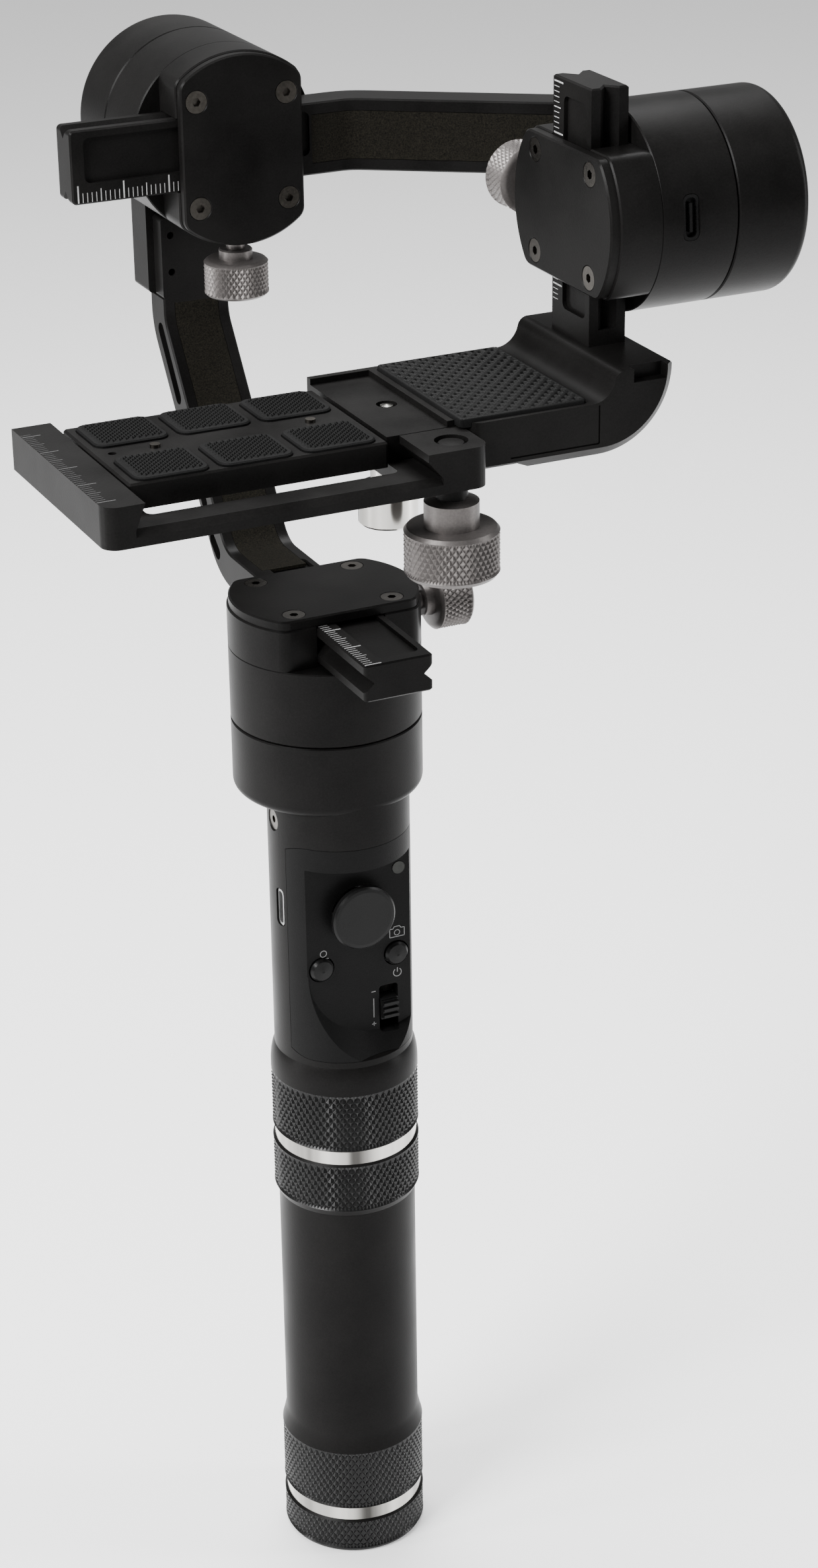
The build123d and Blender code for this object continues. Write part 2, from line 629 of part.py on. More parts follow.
# ---------------------------------------------------------------- camera bracket
base_depth = base_y[1] - base_y[0]
rail_left = tilt_face_x + rail_top_w
with BuildPart() as camera_bracket:
    with BuildSketch(Plane.XZ.offset(-base_y[1])):
        with BuildLine():
            Polyline(
                (29.2, base_top), (0.6, base_top), (0.6, flat_top), (base_left, flat_top),
                (base_left, 279.8), (13.6, 279.8), (16.6, shell_bottom),
                (shell_right - shell_arc_r, shell_bottom),
            )
            RadiusArc((shell_right - shell_arc_r, shell_bottom), (shell_right, shell_top), -shell_arc_r)
            Polyline((shell_right, shell_top), (47.2, shelf_z), (36.6, shelf_z))
            RadiusArc((36.6, shelf_z), (34.4, 293.2), -2.2)
            RadiusArc((34.4, 293.2), (29.2, base_top), 5.0)
        make_face()
    extrude(amount=base_depth)
    # raised lip behind the flat
    with BuildSketch(Plane.XY.offset(flat_top - 0.5)):
        with Locations(((base_left + 0.6) / 2, base_y[1] - 0.8)):
            Rectangle(0.6 - base_left, 1.6)
    extrude(amount=base_top - flat_top + 0.5)
    # notch in the front end of the shelf beside the rail
    with BuildSketch(Plane.XZ.offset(-base_y[0])):
        with Locations((42.0, shelf_z)):
            Rectangle(7.2, 5.4)
    extrude(amount=-2.4, mode=Mode.SUBTRACT)
    # long chamfer round the lower edges of the front
    front_edges = camera_bracket.faces().sort_by(Axis.Y)[0].outer_wire().edges()
    low = front_edges.filter_by(GeomType.CIRCLE).sort_by(Axis.X)[-1]
    bottom = front_edges.filter_by(Axis.X).sort_by(Axis.Z)[0]
    chamfer([low, bottom], 2.0)
    # room for the slide plate's clamp block, and the channel for its tongue
    with BuildSketch(Plane.XY.offset(270)):
        with Locations((-5.65, -58)):
            Rectangle(19.1, 8.0)
    extrude(amount=30, mode=Mode.SUBTRACT)
    corners = camera_bracket.edges().filter_by(Axis.Z).group_by(Axis.Y)[0].group_by(Axis.X)[0]
    fillet(corners, 2.5)
    with BuildSketch(Plane.XY.offset(270)):
        with Locations(((base_left - 1 + 21) / 2, -37.6)):
            Rectangle(22 - base_left, 33.8)
    extrude(amount=13.3, mode=Mode.SUBTRACT)
    # the tilt rail standing in the bracket's groove
    with BuildSketch(Plane.XY.offset(290)):
        with Locations((rail_left + rail_t / 2, tilt_y)):
            Rectangle(rail_t, 2 * rail_half)
    extrude(amount=tilt_rail_top - 290)
    for side in (-1, 1):
        with BuildSketch(Plane.XY.offset(298.0)):
            with BuildLine():
                x_mid = rail_left + rail_t / 2
                Polyline(
                    (x_mid - groove_half, tilt_y + side * rail_half),
                    (x_mid, tilt_y + side * (rail_half - groove_depth)),
                    (x_mid + groove_half, tilt_y + side * rail_half), close=True,
                )
            make_face()
        extrude(amount=60, mode=Mode.SUBTRACT)
    with BuildSketch(tilt_frame.offset(rail_top_w)):
        with Locations((1.0, 1.3)):
            RectangleRounded(42, face_pocket[0], 1.4)
    extrude(amount=face_pocket[1], mode=Mode.SUBTRACT)
    rail_top = camera_bracket.faces().sort_by(Axis.Z)[-1]
    chamfer(rail_top.outer_wire().edges(), edge_chamfer)
    # seat of the big pad
    with BuildSketch(Plane.XY.offset(base_top)):
        with Locations(pad_centre):
            RectangleRounded(27.2, 38.6, 1.5)
    extrude(amount=-pad_sink, mode=Mode.SUBTRACT)
    # hole for the lock screw, and the fine seam on the front
    with BuildSketch(Plane.XY.offset(270)):
        with Locations(lock_axis):
            Circle(2.06)
    extrude(amount=30, mode=Mode.SUBTRACT)
    with BuildSketch(Plane.XZ.offset(-base_y[0])):
        with Locations((21.5, 281.2)):
            Rectangle(19.0, 0.35)
        with Locations((31.0, 285.0)):
            Rectangle(0.35, 7.6)
    extrude(amount=-0.3, mode=Mode.SUBTRACT)
keep(camera_bracket, "camera_bracket")

with BuildPart() as bracket_pad:
    with BuildSketch(Plane.XY.offset(base_top - pad_sink)):
        with Locations(pad_centre):
            RectangleRounded(27.0, 38.4, 1.4)
    extrude(amount=1.8)
keep(bracket_pad, "bracket_pad")

# Screw that locks the slide plate's tongue, with its bright knob below
lock_plane = Plane(origin=(*lock_axis, 0))
lock_screw = turned(lock_plane, [
    (0, 264.0), (5.4, 264.0), (5.9, 264.5), (5.9, 271.4), (5.4, 271.9), (3.4, 271.9), (3.4, 279.6),
    (2.0, 279.6), (2.0, 286.6), (1.3, 286.9), (1.3, 287.8), (0, 288.1),
])
keep(lock_screw, "lock_screw")

# ---------------------------------------------------------------- slide plate
with BuildPart() as slide_frame:
    with BuildSketch(Plane.XY.offset(floor_z[0])):
        with BuildLine():
            Polyline(
                (frame_x[0], frame_y[0]), (frame_x[1], frame_y[0]), (frame_x[1], tongue_front),
                (tongue_right, tongue_front), (tongue_right, tongue_back), (base_left - 0.4, tongue_back),
                (base_left - 0.4, frame_y[1]), (frame_x[0], frame_y[1]), close=True,
            )
        make_face()
    extrude(amount=floor_z[1] - floor_z[0])
    # end stop and clamp block, both undercut towards the plate between them
    with BuildSketch(Plane.XZ.offset(-frame_y[1])):
        with BuildLine():
            Polyline(
                (frame_x[0], floor_z[0]), (stop_right, floor_z[0]), (stop_right, floor_z[1]),
                (stop_right + 2.0, flat_top),
                (frame_x[0], flat_top), close=True,
            )
        make_face()
    extrude(amount=frame_y[1] - frame_y[0])
    with BuildSketch(Plane.XZ.offset(-tongue_front)):
        with BuildLine():
            Polyline(
                (frame_x[1], floor_z[0]), (block_left + 3, floor_z[0]), (block_left + 3, floor_z[1]),
                (block_left, flat_top - 1.5), (block_left, flat_top), (frame_x[1], flat_top), close=True,
            )
        make_face()
    extrude(amount=tongue_front - frame_y[0])
    uprights = slide_frame.edges().filter_by(Axis.Z).group_by(Axis.Y)[0]
    fillet(uprights.group_by(Axis.X)[0] + uprights.group_by(Axis.X)[-1], 3.0)
    # bevel along the top of the front rail
    with BuildSketch(Plane.YZ.offset(stop_right)):
        with BuildLine():
            Polyline(
                (frame_y[0], floor_z[1]), (frame_y[0] + rail_bevel, floor_z[1]),
                (frame_y[0], floor_z[1] - rail_bevel), close=True,
            )
        make_face()
    extrude(amount=block_left + 3 - stop_right, mode=Mode.SUBTRACT)
    # long openings in the floor, the lock screw's slot and the clamp screw's hole
    with BuildSketch(Plane.XY.offset(floor_z[0])):
        with Locations((-37.2, -53.5)):
            RectangleRounded(50.0, 13.0, 1.5)
        with Locations((-37.2, -28.0)):
            RectangleRounded(50.0, 13.0, 1.5)
        with Locations((lock_axis[0] + slide_travel / 2, lock_axis[1])):
            SlotOverall(slide_travel + 4.6, 4.6)
        with Locations(clamp_axis):
            Circle(3.22)
    extrude(amount=20, mode=Mode.SUBTRACT)
keep(slide_frame, "slide_frame")

with BuildPart() as top_plate:
    with BuildSketch(Plane.XY.offset(floor_z[1])):
        with Locations(((plate_x[0] + plate_x[1]) / 2, (plate_y[0] + plate_y[1]) / 2)):
            RectangleRounded(plate_x[1] - plate_x[0], plate_y[1] - plate_y[0], 0.6)
    extrude(amount=flat_top - floor_z[1])
    chamfer(top_plate.faces().sort_by(Axis.Z)[-1].outer_wire().edges(), 0.4)
    with BuildSketch(Plane.XY.offset(flat_top)):
        for row in stud_rows:
            with Locations(*[(column, row) for column in stud_columns]):
                RectangleRounded(stud_size[0] + 0.2, stud_size[1] + 0.2, 2.4)
    extrude(amount=-stud_sink, mode=Mode.SUBTRACT)
    with BuildSketch(Plane.XY.offset(flat_top)):
        with Locations((pin_x[0], pin_y), (pin_x[1], pin_y)):
            Circle(pin_r)
        with Locations((-61.0, pin_y)):
            Circle(0.8)
    extrude(amount=-pin_sink, mode=Mode.SUBTRACT)
keep(top_plate, "top_plate")

with BuildPart() as plate_pads:
    with BuildSketch(Plane.XY.offset(flat_top - stud_sink)):
        for row in stud_rows:
            with Locations(*[(column, row) for column in stud_columns]):
                RectangleRounded(*stud_size, 2.3)
    extrude(amount=1.6)
keep(plate_pads, "plate_pads")

with BuildPart() as plate_pins:
    with BuildSketch(Plane.XY.offset(flat_top - pin_sink)):
        with Locations((pin_x[0], pin_y), (pin_x[1], pin_y)):
            Circle(pin_r)
    extrude(amount=3.1)
keep(plate_pins, "plate_pins")

# Clamp knob under the clamp block, its stud up through the block
clamp_plane = Plane(origin=(*clamp_axis, 0))
clamp_knob = turned(clamp_plane, [
    (0, 261.6), (8.5, 261.6), (9.2, 262.4), (9.2, 270.4), (8.5, 271.2), (5.3, 271.2), (5.3, 276.2),
    (3.15, 276.9), (3.15, 286.9), (2.4, 287.6), (0, 287.8),
])
keep(clamp_knob, "clamp_knob")
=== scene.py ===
"""Looks of the gimbal stabilizer: knurled knobs and bands, ruler ticks, pads, panel marks, and
procedural finishes on the CAD nodes, on a plain floor in soft studio light."""

import json
import math

import bpy
from mathutils import Matrix, Vector


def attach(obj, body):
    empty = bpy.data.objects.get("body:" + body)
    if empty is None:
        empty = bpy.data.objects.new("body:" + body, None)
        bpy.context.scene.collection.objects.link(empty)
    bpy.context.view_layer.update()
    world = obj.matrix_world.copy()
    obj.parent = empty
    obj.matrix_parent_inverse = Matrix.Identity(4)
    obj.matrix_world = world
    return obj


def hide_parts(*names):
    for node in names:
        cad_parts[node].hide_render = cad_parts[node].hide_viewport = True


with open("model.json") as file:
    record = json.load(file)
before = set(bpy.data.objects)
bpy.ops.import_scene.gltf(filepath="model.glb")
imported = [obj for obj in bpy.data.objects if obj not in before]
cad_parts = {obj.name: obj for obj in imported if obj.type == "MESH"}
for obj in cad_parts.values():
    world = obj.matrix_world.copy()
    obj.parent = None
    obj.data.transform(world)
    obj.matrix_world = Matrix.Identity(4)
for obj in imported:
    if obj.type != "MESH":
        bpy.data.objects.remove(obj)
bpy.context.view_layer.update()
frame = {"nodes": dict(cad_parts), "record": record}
nodes = frame["nodes"]
MM = 0.001
TAU = 2 * math.pi


# ---------------------------------------------------------------- materials
def new_material(name):
    """An empty node material with its shader: returns (material, nodes, links, shader)."""
    mat = bpy.data.materials.new(name)
    mat.use_nodes = True
    tree = mat.node_tree
    return mat, tree.nodes, tree.links, tree.nodes["Principled BSDF"]


def finish_of(
    name, dark, light, rough, metallic=0.0, grain=900.0, bump=0.15, coat=0.0, patch=60.0, specular=0.5,
    stretch=(1, 1, 1),
):
    """A finish whose colour and roughness wander between two values, with a fine grain in relief."""
    mat, n, links, shader = new_material(name)
    coords = n.new("ShaderNodeTexCoord")
    mapping = n.new("ShaderNodeMapping")
    mapping.inputs["Scale"].default_value = stretch
    links.new(coords.outputs["Object"], mapping.inputs["Vector"])
    broad = n.new("ShaderNodeTexNoise")
    broad.inputs["Scale"].default_value = patch
    broad.inputs["Detail"].default_value = 4.0
    fine = n.new("ShaderNodeTexNoise")
    fine.inputs["Scale"].default_value = grain
    fine.inputs["Detail"].default_value = 3.0
    for texture in (broad, fine):
        links.new(mapping.outputs["Vector"], texture.inputs["Vector"])
    mixed = n.new("ShaderNodeMath")
    mixed.operation = "MULTIPLY_ADD"
    mixed.inputs[1].default_value = 0.55
    links.new(fine.outputs["Fac"], mixed.inputs[0])
    links.new(broad.outputs["Fac"], mixed.inputs[2])
    ramp = n.new("ShaderNodeValToRGB")
    ramp.color_ramp.elements[0].position = 0.55
    ramp.color_ramp.elements[1].position = 1.0
    ramp.color_ramp.elements[0].color = (*dark, 1)
    ramp.color_ramp.elements[1].color = (*light, 1)
    links.new(mixed.outputs[0], ramp.inputs["Fac"])
    links.new(ramp.outputs["Color"], shader.inputs["Base Color"])
    span = n.new("ShaderNodeMapRange")
    span.inputs["From Min"].default_value = 0.3
    span.inputs["From Max"].default_value = 0.7
    span.inputs["To Min"].default_value = rough - 0.05
    span.inputs["To Max"].default_value = rough + 0.05
    links.new(broad.outputs["Fac"], span.inputs["Value"])
    links.new(span.outputs[0], shader.inputs["Roughness"])
    relief = n.new("ShaderNodeBump")
    relief.inputs["Strength"].default_value = bump
    relief.inputs["Distance"].default_value = 0.0001
    links.new(fine.outputs["Fac"], relief.inputs["Height"])
    links.new(relief.outputs["Normal"], shader.inputs["Normal"])
    shader.inputs["Metallic"].default_value = metallic
    shader.inputs["Specular IOR Level"].default_value = specular
    shader.inputs["Coat Weight"].default_value = coat
    shader.inputs["Coat Roughness"].default_value = 0.15
    return mat


def grey(a, b, tint=(1, 1, 1)):
    """Two tinted greys."""
    return tuple(a * t for t in tint), tuple(b * t for t in tint)


anodised = finish_of(
    "anodised", *grey(0.003, 0.0065, (1.05, 1, 0.97)), 0.36, grain=2600, bump=0.14, specular=0.055,
)
knurled = finish_of("knurled", *grey(0.0025, 0.005), 0.26, grain=2600, bump=0.1, specular=0.2)
knob_metal = finish_of(
    "knob_metal", (0.075, 0.069, 0.067), (0.125, 0.115, 0.111), 0.40, metallic=0.7, grain=2200, bump=0.1,
    specular=0.3,
)
# Polished steel: its base colour swings from near black to near white in long streaks along z. These streaks
# are painted reflections standing in for the bright and dark surroundings mirrored in the rings.
polished = finish_of(
    "polished", (0.06, 0.058, 0.055), (0.86, 0.84, 0.79), 0.14, metallic=1.0, grain=70, bump=0.02, patch=75,
    stretch=(1, 1, 0.02),
)
machined = finish_of(
    "machined", *grey(0.38, 0.52), 0.28, metallic=1.0, grain=1500, bump=0.2, stretch=(1, 1, 12),
)
screw_metal = finish_of(
    "screw_metal", (0.045, 0.041, 0.036), (0.10, 0.092, 0.082), 0.28, metallic=1.0, grain=1500,
)
panel_skin = finish_of("panel_skin", *grey(0.0025, 0.005), 0.44, grain=3200, bump=0.25, specular=0.06)
key_skin = finish_of("key_skin", *grey(0.003, 0.006), 0.30, grain=2600, bump=0.12, specular=0.12)
lens_skin = finish_of(
    "lens_skin", (0.012, 0.013, 0.011), (0.024, 0.025, 0.022), 0.2, grain=900, bump=0.05, specular=0.2,
)
socket_skin = finish_of("socket_skin", *grey(0.25, 0.38), 0.35, metallic=0.9, grain=1800)
cell_skin = finish_of("cell_skin", (0.30, 0.03, 0.02), (0.42, 0.06, 0.04), 0.3, grain=600, coat=0.4)
copper = finish_of(
    "copper", (0.42, 0.14, 0.05), (0.62, 0.26, 0.10), 0.35, metallic=0.9, grain=1800, stretch=(1, 1, 8),
)
nickel = finish_of("nickel", *grey(0.45, 0.6), 0.25, metallic=1.0, grain=900, bump=0.05)
suede = finish_of(
    "suede", (0.0015, 0.0014, 0.001), (0.012, 0.0108, 0.008), 0.85, grain=5200, bump=0.8, patch=3000,
    specular=0.06,
)
rubber = finish_of("rubber", *grey(0.003, 0.006), 0.5, grain=2400, bump=0.25, specular=0.04)
ink = finish_of("ink", *grey(0.26, 0.36), 0.6, grain=1800, bump=0.1)
faint_ink = finish_of("faint_ink", *grey(0.11, 0.16), 0.6, grain=1800, bump=0.1)
ghost_ink = finish_of("ghost_ink", *grey(0.012, 0.02), 0.5, grain=1800, bump=0.1)

slot_finish = {
    "anodised_black": anodised, "polished_steel": polished, "knob_aluminium": knob_metal, "steel": machined,
    "screw_steel": screw_metal, "panel_plastic": panel_skin, "lens_plastic": lens_skin, "board": socket_skin,
    "cell_wrap": cell_skin, "windings": copper, "magnet": nickel, "suede_pad": suede, "rubber_pad": rubber,
}
own_finish = {
    "joystick_cap": key_skin, "mode_button": key_skin, "shutter_button": key_skin, "zoom_slider": key_skin,
    "tilt_usb_port": key_skin,
}
for part in frame["record"]["subparts"]:
    target = nodes[part["node"]]
    target.data.materials.clear()
    target.data.materials.append(own_finish.get(part["node"], slot_finish[part["material_slot"]]))


# ---------------------------------------------------------------- geometry helpers
def make(name, verts, faces, material, body, sharp=28.0):
    """A mesh piece, its points in millimetres in the part's frame, riding on a body."""
    mesh = bpy.data.meshes.new(name)
    mesh.from_pydata([tuple(c * MM for c in v) for v in verts], [], faces)
    mesh.validate()
    mesh.update()
    mesh.polygons.foreach_set("use_smooth", [True] * len(mesh.polygons))
    mesh.set_sharp_from_angle(angle=math.radians(sharp))
    mesh.materials.append(material)
    piece = bpy.data.objects.new(name, mesh)
    bpy.context.scene.collection.objects.link(piece)
    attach(piece, body)
    return piece


def triangle_wave(t):
    """0 at whole numbers and 1 half way between them."""
    t -= math.floor(t)
    return 2 * t if t < 0.5 else 2 - 2 * t


def turned_piece(
    name, origin, axis, across, stations, around, depth, material, body, closed=True, plain=None,
):
    """A body of revolution. Stations are (radius, height, knurled): between two knurled stations
    the surface is cut into diamonds, as many around as said. Smooth faces take the plain finish."""
    axis, across = Vector(axis), Vector(across)
    third = axis.cross(across)
    columns = 4 * around
    step = TAU * max(s[0] for s in stations) / columns
    rows = []
    for (r0, h0, k0), (r1, h1, k1) in zip(stations, stations[1:]):
        rows.append((r0, h0, 0.0, 0.0))
        if k0 and k1:
            count = max(4, round(abs(h1 - h0) / (1.5 * step)))
            for i in range(1, count):
                f = i / count
                rows.append((r0 + (r1 - r0) * f, h0 + (h1 - h0) * f, i / 4, 1.0))
    rows.append((stations[-1][0], stations[-1][1], 0.0, 0.0))
    verts = []
    for r, h, turn, cut in rows:
        for c in range(columns):
            radius = r
            if cut:
                high = min(triangle_wave(c / 4 + turn), triangle_wave(c / 4 - turn))
                radius -= depth * (1 - high)
            a = TAU * c / columns
            verts.append(Vector(origin) + axis * h + (across * math.cos(a) + third * math.sin(a)) * radius)
    faces = []
    last = len(rows) if closed else len(rows) - 1
    for i in range(last):
        j = (i + 1) % len(rows)
        for c in range(columns):
            d = (c + 1) % columns
            a, b, e, g = i * columns + c, i * columns + d, j * columns + d, j * columns + c
            if rows[i][3] or rows[j][3]:
                if (c + round(4 * rows[i][2])) % 2:
                    faces += [(a, b, g), (b, e, g)]
                else:
                    faces += [(a, b, e), (a, e, g)]
            else:
                faces.append((a, b, e, g))
    if not closed:
        faces.append(tuple(reversed(range(columns))))
        faces.append(tuple((len(rows) - 1) * columns + c for c in range(columns)))
    piece = make(name, verts, faces, material, body)
    if plain:
        # points come row by row, and a face that touches no cut row is smooth
        piece.data.materials.append(plain)
        cut_rows = {i for i, row in enumerate(rows) if row[3]}
        for polygon in piece.data.polygons:
            if not any(v // columns in cut_rows for v in polygon.vertices):
                polygon.material_index = 1
    return piece


def boxes(name, items, material, body):
    """Flat blocks: each item is (corner, edge a, edge b, edge c)."""
    verts, faces = [], []
    for corner, ea, eb, ec in items:
        o, a, b, c = Vector(corner), Vector(ea), Vector(eb), Vector(ec)
        n = len(verts)
        verts += [o, o + a, o + a + b, o + b, o + c, o + a + c, o + a + b + c, o + b + c]
        quads = [(3, 2, 1, 0), (4, 5, 6, 7), (0, 1, 5, 4), (1, 2, 6, 5), (2, 3, 7, 6), (3, 0, 4, 7)]
        faces += [tuple(n + k for k in q) for q in quads]
    return make(name, verts, faces, material, body)


# ---------------------------------------------------------------- knurled pieces
z_up, x_right = (0, 0, 1), (1, 0, 0)
tube_r = 15.4
knurl_r = 16.4
rim_r = 16.0
spigot_r = 14.5
spigot_bore_r = 14.57
bore_r = 13.4
thread_r = 2.55
cap_top = 9.1
ring_top = 12.4
grip_top = 105.9
collar_bottom = 109.2
collar_top = 130.0
spigot_top = 118.0
rim = 0.4
handle_diamonds = 64
handle_cut = 0.45

grip = turned_piece(
    "grip_tube_knurled", (0, 0, 0), z_up, x_right,
    [
        (spigot_bore_r, ring_top, 0), (rim_r, ring_top, 0), (knurl_r, ring_top + rim, 1), (knurl_r, 28.1, 1),
        (16.25, 28.5, 0), (15.7, 31.0, 0), (tube_r, 32.4, 0), (tube_r, 92.6, 0), (15.7, 92.6, 0),
        (knurl_r, 94.1, 1), (knurl_r, grip_top - rim, 1), (rim_r, grip_top, 0), (spigot_r, grip_top, 0),
        (spigot_r, spigot_top, 0), (bore_r, spigot_top, 0), (bore_r, 20.0, 0), (spigot_bore_r, 20.0, 0),
    ],
    handle_diamonds, handle_cut, knurled, "grip", plain=anodised,
)
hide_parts("grip_tube")
foot = turned_piece(
    "tail_cap_knurled", (0, 0, 0), z_up, x_right,
    [
        (thread_r, 0, 0), (15.2, 0, 0), (rim_r, 0.4, 0), (knurl_r, 1.2, 1), (knurl_r, cap_top - rim, 1),
        (rim_r, cap_top, 0), (spigot_r, cap_top, 0), (spigot_r, 19.5, 0), (bore_r, 19.5, 0), (bore_r, 8.0, 0),
        (thread_r, 8.0, 0),
    ],
    handle_diamonds, handle_cut, knurled, "foot", plain=anodised,
)
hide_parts("tail_cap")
collar = turned_piece(
    "upper_collar_knurled", (0, 0, 0), z_up, x_right,
    [
        (spigot_bore_r, collar_bottom, 0), (rim_r, collar_bottom, 0), (knurl_r, collar_bottom + rim, 1),
        (knurl_r, 123.5, 1), (16.38, 125.4, 0), (16.25, 127.0, 0), (15.95, 128.6, 0), (15.6, 129.6, 0),
        (tube_r, collar_top, 0), (bore_r, collar_top, 0), (bore_r, 118.3, 0), (spigot_bore_r, 118.3, 0),
    ],
    handle_diamonds, handle_cut, knurled, "handle", plain=anodised,
)
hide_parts("upper_collar")

# Thumb screws: heights run out from the motor's axis, square to the rail
knob_profile = [
    (1.4, 7.9, 0), (2.0, 8.5, 0), (2.0, 22.2, 0), (3.3, 22.2, 0), (3.6, 22.5, 0), (3.6, 24.4, 0),
    (5.8, 24.4, 0), (6.4, 24.6, 0), (6.9, 25.1, 1), (6.9, 31.7, 1), (6.4, 32.2, 0), (5.8, 32.4, 0),
    (4.8, 32.4, 0), (4.6, 32.1, 0), (2.0, 32.1, 0),
]
for motor, origin, axis, across in (
    ("pan", (0, 5.1, 228.2), (1, 0, 0), (0, 1, 0)),
    ("roll", (0, 47.5, 320), (0, 0, -1), (1, 0, 0)),
    ("tilt", (41.5, -34, 320), (0, 1, 0), (1, 0, 0)),
):
    screw = turned_piece(
        f"{motor}_thumb_screw_knurled", origin, axis, across, knob_profile, 36, 0.38, knob_metal,
        f"{motor}_clamp_screw", closed=False,
    )
    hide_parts(f"{motor}_thumb_screw")

stud_start = 276.6
clamp = turned_piece(
    "clamp_knob_knurled", (-2.0, -61.0, 0), z_up, x_right,
    [
        (6.0, 262.0, 0), (7.8, 262.0, 0), (8.1, 261.6, 0), (8.6, 261.6, 0), (9.2, 262.4, 1), (9.2, 270.4, 1),
        (8.6, 271.1, 0), (7.9, 271.2, 0), (5.3, 271.2, 0), (5.3, 276.2, 0), (3.15, 276.9, 0),
        (3.15, 286.9, 0), (2.4, 287.6, 0), (0.6, 287.8, 0),
    ],
    44, 0.42, knob_metal, "plate_clamp", closed=False,
)
clamp.data.materials.append(anodised)
for polygon in clamp.data.polygons:
    if polygon.center.z > stud_start * MM:
        polygon.material_index = 1
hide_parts("clamp_knob")


# ---------------------------------------------------------------- ruler ticks on the rails
def ticks(name, start, along, inward, outward, count, body, colour=ink):
    """Millimetre ticks from the rail's edge inward: a long one at each ten, a medium at each five."""
    along, inward, outward = Vector(along), Vector(inward), Vector(outward)
    items = []
    for i in range(count):
        length, width = (3.6, 0.3) if i % 10 == 0 else (2.6, 0.18) if i % 5 == 0 else (2.0, 0.13)
        corner = Vector(start) + along * (i - width / 2) - outward * 0.05
        items.append((corner, along * width, inward * length, outward * 0.08))
    return boxes(name, items, colour, body)


ticks("pan_rail_ticks", (-7.3, -31.7, 232.4), (0, 1, 0), (1, 0, 0), (0, 0, 1), 36, "pan_carrier")
ticks("roll_rail_ticks", (-36.0, 43.3, 312.7), (1, 0, 0), (0, 0, 1), (0, -1, 0), 36, "roll_carrier")
ticks("tilt_rail_ticks", (37.3, -26.7, 344.2), (0, 0, -1), (0, -1, 0), (-1, 0, 0), 44, "camera_carrier")
ticks("end_stop_ticks", (-72.9, -63.0, 288.0), (0, 1, 0), (1, 0, 0), (0, 0, 1), 42, "slide_plate", ghost_ink)


# ---------------------------------------------------------------- rubber pads
def rope(t):
    """Height of a round rib across a wave: 1 on its crest, 0 in the gap."""
    return math.sqrt(max(0.0, 1 - (t / 0.55) ** 2))


def rope_pad(name, x_span, y_span, top, body):
    """The big pad: a border and inside it crossing twisted ribs, in relief."""
    nx, ny = 120, 170
    corner = 1.4
    border, relief, thickness = 0.8, 0.5, 1.7
    spacing, turn, lay = 2.9, 1.9, 0.28
    verts, faces = [], []
    for j in range(ny + 1):
        for i in range(nx + 1):
            x = x_span[0] + (x_span[1] - x_span[0]) * i / nx
            y = y_span[0] + (y_span[1] - y_span[0]) * j / ny
            edge = min(x - x_span[0], x_span[1] - x, y - y_span[0], y_span[1] - y)
            cx = min(max(x, x_span[0] + corner), x_span[1] - corner)
            cy = min(max(y, y_span[0] + corner), y_span[1] - corner)
            reach = math.hypot(x - cx, y - cy)
            if x != cx and y != cy:
                edge = max(corner - reach, 0)
                if reach > corner:
                    x, y = cx + (x - cx) * corner / reach, cy + (y - cy) * corner / reach
            a, b = triangle_wave((x + y) / spacing), triangle_wave((x - y) / spacing)
            twist = abs(math.sin(TAU * (x - y) / turn))
            other = abs(math.sin(TAU * (x + y) / turn))
            rib = max(rope(a) * (1 - lay + lay * twist), rope(b) * (1 - lay + lay * other))
            height = top if edge < border else top - relief * (1 - rib)
            verts.append((x, y, height if edge > 0.05 else top - 0.25))
    for j in range(ny):
        for i in range(nx):
            a = j * (nx + 1) + i
            faces.append((a, a + 1, a + nx + 2, a + nx + 1))
    base = len(verts)
    outline = [i for i in range(nx + 1)] + [(j + 1) * (nx + 1) - 1 for j in range(1, ny + 1)]
    outline += [ny * (nx + 1) + i for i in range(nx - 1, -1, -1)]
    outline += [j * (nx + 1) for j in range(ny - 1, 0, -1)]
    for k in outline:
        verts.append((verts[k][0], verts[k][1], top - thickness))
    n = len(outline)
    for k in range(n):
        faces.append((outline[k], base + k, base + (k + 1) % n, outline[(k + 1) % n]))
    faces.append(tuple(base + k for k in reversed(range(n))))
    return make(name, verts, faces, rubber, body, sharp=50)


pad = rope_pad("bracket_pad_roped", (2.1, 29.1), (-56.8, -18.4), 290.0, "camera_carrier")
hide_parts("bracket_pad")


